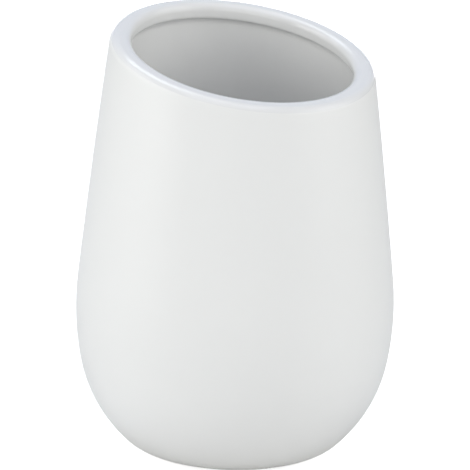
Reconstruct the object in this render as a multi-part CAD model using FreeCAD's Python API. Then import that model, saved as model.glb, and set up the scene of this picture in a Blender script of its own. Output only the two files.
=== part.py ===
"""Ceramic bathroom tumbler: a glazed barrel with a slanted mouth, on four pads.

Millimetres and degrees. +Z is up, the axis of the barrel is Z, the origin is
under the middle of the base on the surface that it stands on, and the mouth
rises towards +Y. All outside sizes are over the glaze.
"""
import FreeCAD, Part
import math
import os

from FreeCAD import Vector

# Barrel outline: four arcs that run into each other from the foot to the mouth
belly_radius = 40.0     # at the widest part
foot_radius = 19.8      # where the outline meets the flat foot
foot_curve = 12.0       # radius of the arc that turns out of the foot
belly_curve = 74.0      # radius of the arc round the widest part
wall_curve = 2400.0     # radius of the nearly straight wall
foot_turn = 46.0        # angle below the widest part where the foot's arc ends
flank_turn = 10.2       # angle below the widest part where its own arc begins
wall_turn = 6.2         # angle above the widest part where its own arc ends

# Mouth and lip
rim_height = 101.9      # of the slanted rim above the foot, on the axis
rim_slope = 14.5        # of the rim's plane
lip_outer_round = 2.2
lip_inner_round = 1.7
bead_depth = 3.9        # of the lip's bead, from the rim down
bead_proud = 1.25       # of the bead, in from the wall below it
bead_round_share = 0.55     # of bead_proud, for the round at the bead's lower edge
crease_round_share = 0.33   # of bead_proud, for the hollow between bead and wall
wall_thickness = 4.1    # glaze included

# Foot and the recess under the base
foot_ring_width = 3.2
foot_ring_round = 0.4
recess_depth = 1.0
recess_round = 0.5

# Glaze
glaze_thickness = 0.4
glaze_seam = 1.0        # below the rim, where the lip's glaze meets the outer one
glaze_line = 0.3        # above the foot, where the outer glaze stops

# Stick-on pads
pad_count = 4
pad_start_share = 0.5   # of the angle between two pads, from +X to the first
pad_radius = 4.5
pad_stand = 0.5         # of the pads below the foot ring
pad_round = 0.4
pad_edge_gap = 0.9      # from a pad to the recess's wall

overrun = 5.0           # of a cut past the face that it opens
flatness = 0.0001       # how near a flat face lies to its plane

# Sizes that follow from those above
foot_height = pad_stand
lip_thickness = wall_thickness + bead_proud
bead_round = bead_proud * bead_round_share
crease_round = bead_proud * crease_round_share
recess_radius = foot_radius - foot_ring_width
pad_circle = recess_radius - pad_edge_gap - pad_radius
rim_rise = belly_radius * math.tan(math.radians(rim_slope))
outline_top = foot_height + rim_height + rim_rise + overrun
reach = outline_top + belly_radius

up = Vector(0, 0, 1)
axis_foot = Vector(0, 0, 0)
rim_normal = FreeCAD.Rotation(Vector(1, 0, 0), rim_slope).multVec(up)


def along(angle):
    """Direction in the outline's plane, at an angle above the horizontal."""
    turn = math.radians(angle)
    return Vector(math.cos(turn), 0, math.sin(turn))


def arc_centres():
    """Radius of the flank's arc, which joins foot and belly, and the arcs' centres."""
    belly_side = belly_radius - belly_curve + belly_curve * along(flank_turn).x
    foot_side = foot_radius + foot_curve * along(foot_turn).x
    flank_curve = (belly_side - foot_side) / (along(flank_turn).x - along(foot_turn).x)
    foot = Vector(foot_radius, 0, foot_height + foot_curve)
    flank = foot + along(-foot_turn) * (foot_curve - flank_curve)
    belly = flank + along(-flank_turn) * (flank_curve - belly_curve)
    wall = belly + along(wall_turn) * (belly_curve - wall_curve)
    return flank_curve, foot, flank, belly, wall


def barrel(inset):
    """Solid inside the outline, with the outline moved in by inset."""
    flank_curve, foot, flank, belly, wall = arc_centres()
    straight_down = -90
    wall_end = math.degrees(math.asin((outline_top - wall.z) / (wall_curve - inset)))
    stretches = (
        (foot, foot_curve, straight_down, -foot_turn),
        (flank, flank_curve, -foot_turn, -flank_turn),
        (belly, belly_curve, -flank_turn, wall_turn),
        (wall, wall_curve, wall_turn, wall_end),
    )
    edges = []
    for centre, curve, start, end in stretches:
        angles = (start, (start + end) / 2, end)
        points = [centre + along(angle) * (curve - inset) for angle in angles]
        edges.append(Part.Arc(*points).toShape())
    low = edges[0].firstVertex(True).Point
    high = edges[-1].lastVertex(True).Point
    axis = [Vector(0, 0, high.z), Vector(0, 0, low.z)]
    closing = Part.makePolygon([high] + axis + [low])
    outline = Part.Wire(edges + closing.Edges)
    return Part.Face(outline).revolve(axis_foot, up, 360)


def rim_point(depth):
    """Point on the axis, on the plane that lies depth below the rim."""
    return Vector(0, 0, foot_height + rim_height) - rim_normal * depth


def above_rim(depth):
    """All the space over the plane that lies depth below the rim."""
    block = Part.makeBox(2 * reach, 2 * reach, 2 * reach, Vector(-reach, -reach, 0))
    block.Placement = FreeCAD.Placement(rim_point(depth), FreeCAD.Rotation(up, rim_normal))
    return block


def face_on(shape, point, normal):
    """The flat face of a shape that lies on the plane through a point."""
    for face in shape.Faces:
        if face.Surface.TypeId != "Part::GeomPlane":
            continue
        off_plane = abs(normal.dot(face.CenterOfMass - point))
        if off_plane < flatness and face.Surface.Axis.cross(normal).Length < flatness:
            return face
    raise ValueError("no flat face on that plane")


def hole_edges(face):
    """Edges of the holes in a face."""
    holes = [wire for wire in face.Wires if not wire.isSame(face.OuterWire)]
    return [edge for wire in holes for edge in wire.Edges]


def cup(inset):
    """The whole cup with each of its surfaces moved in by inset: barrel, cavity and lip."""
    outside = barrel(inset).cut(above_rim(inset))
    throat = barrel(lip_thickness - inset)
    cavity = barrel(wall_thickness - inset).cut(above_rim(bead_depth - inset))
    shape = outside.cut(throat.fuse(cavity))
    rim = face_on(shape, rim_point(inset), rim_normal)
    shape = shape.makeFillet(lip_inner_round - inset, hole_edges(rim))
    rim = face_on(shape, rim_point(inset), rim_normal)
    return shape.makeFillet(lip_outer_round - inset, rim.OuterWire.Edges)


def glazed_cup():
    """The cup over its glaze, which softens the step under the lip's bead."""
    shape = cup(0)
    step = face_on(shape, rim_point(bead_depth), rim_normal)
    shape = shape.makeFillet(crease_round, step.OuterWire.Edges)
    step = face_on(shape, rim_point(bead_depth), rim_normal)
    return shape.makeFillet(bead_round, hole_edges(step))


def foot_land():
    """The bare foot, which stands as far out of the fired body as the glaze is thick."""
    return Part.makeCylinder(foot_radius, glaze_thickness, Vector(0, 0, foot_height))


def ceramic_body():
    """Fired body: the cup under its glaze, with a foot ring round a shallow recess."""
    below = Vector(0, 0, foot_height - overrun)
    recess = Part.makeCylinder(recess_radius, recess_depth + overrun, below)
    recess_top = face_on(recess, Vector(0, 0, foot_height + recess_depth), up)
    recess = recess.makeFillet(recess_round, recess_top.Edges)
    body = cup(glaze_thickness).fuse(foot_land()).cut(recess)
    ring = face_on(body, Vector(0, 0, foot_height), up)
    return body.makeFillet(foot_ring_round, hole_edges(ring))


def glaze_coats():
    """Gloss glaze inside and over the lip, and satin glaze on the outside of the body."""
    coat = glazed_cup().cut(cup(glaze_thickness))
    liner_zone = barrel(wall_thickness / 2).fuse(above_rim(glaze_seam))
    below = Vector(0, 0, foot_height - overrun)
    wiped = Part.makeCylinder(belly_radius, glaze_line + overrun, below)
    inner = coat.common(liner_zone)
    outer = coat.cut(liner_zone).cut(foot_land()).cut(wiped)
    return inner, outer


def base_pad(index):
    """A silicone dot stuck in the recess, which stands out past the foot ring."""
    turn = FreeCAD.Rotation(up, 360 * (index + pad_start_share) / pad_count)
    centre = turn.multVec(Vector(pad_circle, 0, 0))
    pad = Part.makeCylinder(pad_radius, recess_depth + pad_stand, centre)
    return pad.makeFillet(pad_round, face_on(pad, axis_foot, up).Edges)


inner_glaze, outer_glaze = glaze_coats()
pieces = {
    "ceramic_body": ceramic_body(),
    "inner_glaze": inner_glaze,
    "outer_glaze": outer_glaze,
}
for index in range(pad_count):
    pieces["base_pad_" + str(index + 1)] = base_pad(index)

os.makedirs("parts", exist_ok=True)
for name, shape in pieces.items():
    solids = shape.Solids
    print(name, "solids", len(solids), "volume", round(shape.Volume, 1), "valid", shape.isValid())
    solids[0].exportStep("parts/" + name + ".step")
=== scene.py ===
"""Ceramic bathroom tumbler, dressed for the picture: glazes, bare foot, pads, studio."""

import math

import bmesh
import bpy
from mathutils import Matrix, Vector

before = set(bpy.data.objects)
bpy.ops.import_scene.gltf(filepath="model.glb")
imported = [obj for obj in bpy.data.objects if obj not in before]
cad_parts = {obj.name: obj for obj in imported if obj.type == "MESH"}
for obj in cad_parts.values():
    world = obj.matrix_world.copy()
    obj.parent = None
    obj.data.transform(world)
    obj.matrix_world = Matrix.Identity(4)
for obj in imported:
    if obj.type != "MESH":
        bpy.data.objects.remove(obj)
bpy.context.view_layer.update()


# Fired body: stoneware clay, slip-cast in one piece in a plaster mould and fired.
# The glaze hides it all but for the foot ring, wiped bare so that it doesn't
# stick to the kiln shelf, and the recess under the base.

def linear(hex_colour):
    """sRGB hex to the linear colour that a shader takes."""
    parts = [int(hex_colour[i:i + 2], 16) / 255 for i in (1, 3, 5)]
    return [p / 12.92 if p <= 0.04045 else ((p + 0.055) / 1.055) ** 2.4 for p in parts] + [1.0]


def add_node(owner, kind, inputs=None, **settings):
    """A node with its settings, whose inputs are values or another node's sockets."""
    made = owner.node_tree.nodes.new(kind)
    for name, value in settings.items():
        setattr(made, name, value)
    for name, value in (inputs or {}).items():
        if isinstance(value, bpy.types.NodeSocket):
            owner.node_tree.links.new(value, made.inputs[name])
        else:
            made.inputs[name].default_value = value
    return made


def new_material(name):
    """An empty node material."""
    made = bpy.data.materials.new(name)
    made.use_nodes = True
    made.node_tree.nodes.clear()
    return made


def dress(node_name, material):
    """Gives a CAD piece its finish."""
    slots = bpy.data.objects[node_name].data.materials
    slots.clear()
    slots.append(material)


mm = 0.001

# Unglazed stoneware: matt and dry, a warm pale grey with the grit of the clay in it.
grit_size = 0.5 * mm
grit_depth = 0.06 * mm
cloud_size = 9 * mm
biscuit = new_material("unglazed_stoneware")
place = add_node(biscuit, "ShaderNodeTexCoord").outputs["Object"]
grit = add_node(biscuit, "ShaderNodeTexNoise", {"Vector": place, "Scale": 1 / grit_size, "Detail": 3.0})
clouds = add_node(biscuit, "ShaderNodeTexNoise", {"Vector": place, "Scale": 1 / cloud_size, "Detail": 2.0})
fired = add_node(
    biscuit, "ShaderNodeMix",
    {0: clouds.outputs["Fac"], 6: linear("#D9D1C3"), 7: linear("#E4DDD0")}, data_type="RGBA")
speckled = add_node(
    biscuit, "ShaderNodeMix",
    {0: grit.outputs["Fac"], 6: linear("#BFB5A4"), 7: fired.outputs[2]}, data_type="RGBA")
grain = add_node(
    biscuit, "ShaderNodeBump",
    {"Height": grit.outputs["Fac"], "Strength": 0.6, "Distance": grit_depth})
clay = add_node(
    biscuit, "ShaderNodeBsdfPrincipled",
    {"Base Color": speckled.outputs[2], "Roughness": 0.85, "IOR": 1.5, "Normal": grain.outputs["Normal"]})
add_node(biscuit, "ShaderNodeOutputMaterial", {"Surface": clay.outputs["BSDF"]})
dress("ceramic_body", biscuit)


# Outer glaze: a zirconium-white satin glaze, sprayed on the outside from the seam on
# the lip's edge to just above the foot, and melted to an even skin in the kiln.

# Satin glaze: soft, wide reflections, a slightly warm white that deepens and pales
# by a hair where the spray lay thicker or thinner, and a faint melt ripple.
spray_size = 22 * mm
ripple_size = 3.5 * mm
ripple_depth = 0.004 * mm
satin = new_material("satin_white_glaze")
place = add_node(satin, "ShaderNodeTexCoord").outputs["Object"]
spray = add_node(satin, "ShaderNodeTexNoise", {"Vector": place, "Scale": 1 / spray_size, "Detail": 3.0})
ripple = add_node(satin, "ShaderNodeTexNoise", {"Vector": place, "Scale": 1 / ripple_size, "Detail": 1.0})
white = add_node(
    satin, "ShaderNodeMix",
    {0: spray.outputs["Fac"], 6: linear("#EFEFED"), 7: linear("#F2F2F0")}, data_type="RGBA")
sheen = add_node(
    satin, "ShaderNodeMapRange",
    {"Value": spray.outputs["Fac"], "To Min": 0.38, "To Max": 0.44})
melt = add_node(
    satin, "ShaderNodeBump",
    {"Height": ripple.outputs["Fac"], "Strength": 1.0, "Distance": ripple_depth})
glass = add_node(
    satin, "ShaderNodeBsdfPrincipled",
    {"Base Color": white.outputs[2], "Roughness": sheen.outputs["Result"], "IOR": 1.5,
     "Normal": melt.outputs["Normal"]})
add_node(satin, "ShaderNodeOutputMaterial", {"Surface": glass.outputs["BSDF"]})
dress("outer_glaze", satin)


# Inner glaze: a clear-topped white liner glaze, poured in, swilled round and tipped
# out, so that it also covers the lip's top and meets the outer glaze at its edge.

# Gloss glaze: sharp reflections on a plain white, with slow waves where it ran. It
# pooled in the hollow under the lip's bead, so the eye sees soft edges there.
run_size = 14 * mm
run_depth = 0.02 * mm
pool_size = 2.2 * mm
pool_share = 0.5            # of the cast edge that the pooled glaze hides
pooled_within = 29.0 * mm   # of the axis, which is inside the mouth
thin_beyond = 30.5 * mm     # of the axis, which leaves out the lip's outer edge
gloss = new_material("gloss_white_glaze")
place = add_node(gloss, "ShaderNodeTexCoord").outputs["Object"]
runs = add_node(gloss, "ShaderNodeTexNoise", {"Vector": place, "Scale": 1 / run_size, "Detail": 2.0})
liner_white = add_node(
    gloss, "ShaderNodeMix",
    {0: runs.outputs["Fac"], 6: linear("#EEEEED"), 7: linear("#F1F1F0")}, data_type="RGBA")
plan = add_node(gloss, "ShaderNodeVectorMath", {0: place, 1: (1.0, 1.0, 0.0)}, operation="MULTIPLY")
from_axis = add_node(gloss, "ShaderNodeVectorMath", {0: plan.outputs["Vector"]}, operation="LENGTH")
pool = add_node(
    gloss, "ShaderNodeMapRange",
    {"Value": from_axis.outputs["Value"], "From Min": pooled_within, "From Max": thin_beyond,
     "To Min": pool_size, "To Max": 0.0})
eased = add_node(gloss, "ShaderNodeBevel", {"Radius": pool.outputs["Result"]}, samples=8)
cast_face = add_node(gloss, "ShaderNodeNewGeometry").outputs["Normal"]
soft_face = add_node(
    gloss, "ShaderNodeMix",
    {0: pool_share, 4: cast_face, 5: eased.outputs["Normal"]}, data_type="VECTOR")
waves = add_node(
    gloss, "ShaderNodeBump",
    {"Height": runs.outputs["Fac"], "Strength": 1.0, "Distance": run_depth, "Normal": soft_face.outputs[1]})
liner = add_node(
    gloss, "ShaderNodeBsdfPrincipled",
    {"Base Color": liner_white.outputs[2], "Roughness": 0.15, "IOR": 1.52, "Normal": waves.outputs["Normal"]})
add_node(gloss, "ShaderNodeOutputMaterial", {"Surface": liner.outputs["BSDF"]})
dress("inner_glaze", gloss)


# Base pads: four die-cut silicone dots, each stuck in the recess by its own adhesive,
# a little proud of the foot ring so that the tumbler stands on them.

# Silicone: milky and soft, with the faint fine matt of the sheet it was cut from.
matt_size = 0.4 * mm
matt_depth = 0.02 * mm
pad_count = 4
silicone = new_material("milky_silicone")
place = add_node(silicone, "ShaderNodeTexCoord").outputs["Object"]
matt = add_node(silicone, "ShaderNodeTexNoise", {"Vector": place, "Scale": 1 / matt_size, "Detail": 2.0})
milk = add_node(
    silicone, "ShaderNodeMix",
    {0: matt.outputs["Fac"], 6: linear("#D5D8D8"), 7: linear("#DFE1E0")}, data_type="RGBA")
skin = add_node(
    silicone, "ShaderNodeBump",
    {"Height": matt.outputs["Fac"], "Strength": 0.4, "Distance": matt_depth})
rubber = add_node(
    silicone, "ShaderNodeBsdfPrincipled",
    {"Base Color": milk.outputs[2], "Roughness": 0.5, "IOR": 1.41, "Normal": skin.outputs["Normal"]})
add_node(silicone, "ShaderNodeOutputMaterial", {"Surface": rubber.outputs["BSDF"]})
for index in range(pad_count):
    dress("base_pad_" + str(index + 1), silicone)


# Floor: a sheet of white card, laid flat under the tumbler and far wider than the
# picture. It belongs to the stage and not to the tumbler.
floor_size = 6.0
floor_drop = 0.05 * mm      # below the pads, so that they don't share a plane with it
floor_mesh = bpy.data.meshes.new("floor")
shaping = bmesh.new()
bmesh.ops.create_grid(
    shaping, x_segments=1, y_segments=1, size=floor_size / 2,
    matrix=Matrix.Translation((0.0, 0.0, -floor_drop)))
shaping.to_mesh(floor_mesh)
shaping.free()
floor = bpy.data.objects.new("floor", floor_mesh)
bpy.context.scene.collection.objects.link(floor)

# White card: burnt out to white in the picture, and dull enough elsewhere that it
# throws only a little light up at the foot.
card_glow = 0.8
card = new_material("white_card")
seen = add_node(card, "ShaderNodeLightPath").outputs["Is Camera Ray"]
glow = add_node(card, "ShaderNodeMapRange", {"Value": seen, "To Min": 0.0, "To Max": card_glow})
burnt_out = add_node(
    card, "ShaderNodeEmission",
    {"Color": linear("#FFFFFF"), "Strength": glow.outputs["Result"]})
lit = add_node(card, "ShaderNodeBsdfDiffuse", {"Color": linear("#E6E6E6")})
paper = add_node(card, "ShaderNodeAddShader", {0: lit.outputs["BSDF"], 1: burnt_out.outputs["Emission"]})
add_node(card, "ShaderNodeOutputMaterial", {"Surface": paper.outputs["Shader"]})
floor_mesh.materials.append(card)


# Studio light: a dim even room, two softboxes on each side for the soft bands on the
# barrel, a wide fill from the front, cooler light from overhead and from behind that
# shows in the gloss of the lip, and a low strip behind so that the back is white too.
room_level = 0.25
room = bpy.data.worlds.new("studio")
bpy.context.scene.world = room
room.use_nodes = True
room.node_tree.nodes.clear()
seen = add_node(room, "ShaderNodeLightPath").outputs["Is Camera Ray"]
level = add_node(room, "ShaderNodeMapRange", {"Value": seen, "To Min": room_level, "To Max": 1.0})
paint = add_node(
    room, "ShaderNodeMix", {0: seen, 6: linear("#FBFDFF"), 7: linear("#FFFFFF")}, data_type="RGBA")
wall = add_node(
    room, "ShaderNodeBackground", {"Color": paint.outputs[2], "Strength": level.outputs["Result"]})
add_node(room, "ShaderNodeOutputWorld", {"Surface": wall.outputs["Background"]})

view_turn = math.radians(-119.563)      # of the camera, round from +X
middle = Vector((0.0, 0.0, 55.0 * mm))  # halfway up the tumbler


def softbox(name, turn, lift, away, width, height, watts, colour):
    """A soft light that faces the tumbler.

    Turn is in degrees from the camera towards its right, lift in degrees above
    level, and the distance away, width and height are in metres.
    """
    lamp = bpy.data.lights.new(name, "AREA")
    lamp.shape = "RECTANGLE"
    lamp.size = width
    lamp.size_y = height
    lamp.energy = watts
    lamp.color = linear(colour)[:3]
    box = bpy.data.objects.new(name, lamp)
    turn = view_turn + math.radians(turn)
    lift = math.radians(lift)
    out = Vector((math.cos(turn) * math.cos(lift), math.sin(turn) * math.cos(lift), math.sin(lift)))
    box.location = middle + out * away
    box.rotation_euler = out.to_track_quat("Z", "Y").to_euler()
    bpy.context.scene.collection.objects.link(box)


softbox("left_softbox", -92, 25, 0.8, 0.4, 0.7, 0.95, "#FFFFFC")
softbox("left_front_softbox", -67, 18, 0.8, 0.35, 0.5, 1.8, "#FFFFFC")
softbox("right_softbox", 90, 30, 0.8, 0.4, 0.7, 1.3, "#FFFFFC")
softbox("right_front_softbox", 63, 20, 0.8, 0.35, 0.5, 1.2, "#FFFFFC")
softbox("front_softbox", 0, 12, 0.9, 1.2, 0.5, 2.35, "#FFFFFC")
softbox("top_softbox", 0, 78, 0.8, 0.6, 0.6, 1.0, "#E0E5FF")
softbox("lip_softbox", -150, 65, 0.8, 0.4, 0.4, 1.5, "#EAF4FF")
softbox("cool_panel", 180, 30, 0.8, 1.0, 0.5, 0.5, "#B4CCFF")
softbox("back_softbox", 180, 7, 0.9, 0.9, 0.15, 1.2, "#FFFFFF")


# Camera: a long lens, a little above the tumbler and tilted by a hair. Its distance,
# rise, tilt and aim were fitted to the tumbler's outline in the photo.
frame_pixels = 470          # across the photo, which is square
pixels_per_mm = 3.993       # at the tumbler's axis
distance = 700 * mm
rise = math.radians(13.883)
tilt = math.radians(1.326)
aim_right = -0.383 * mm
aim_up = 55.045 * mm
lens = bpy.data.cameras.new("camera")
lens.sensor_width = 36.0
lens.lens = lens.sensor_width * pixels_per_mm / mm * distance / frame_pixels
lens.clip_start = 0.01
camera = bpy.data.objects.new("camera", lens)
back = Vector((math.cos(view_turn) * math.cos(rise), math.sin(view_turn) * math.cos(rise), math.sin(rise)))
right = Vector((-math.sin(view_turn), math.cos(view_turn), 0.0))
stand = right * aim_right + Vector((0.0, 0.0, aim_up)) + back * distance
facing = Matrix((right, back.cross(right), back)).transposed() @ Matrix.Rotation(tilt, 3, "Z")
camera.matrix_world = Matrix.Translation(stand) @ facing.to_4x4()
bpy.context.scene.collection.objects.link(camera)
bpy.context.scene.camera = camera
bpy.context.scene.view_settings.view_transform = "Standard"
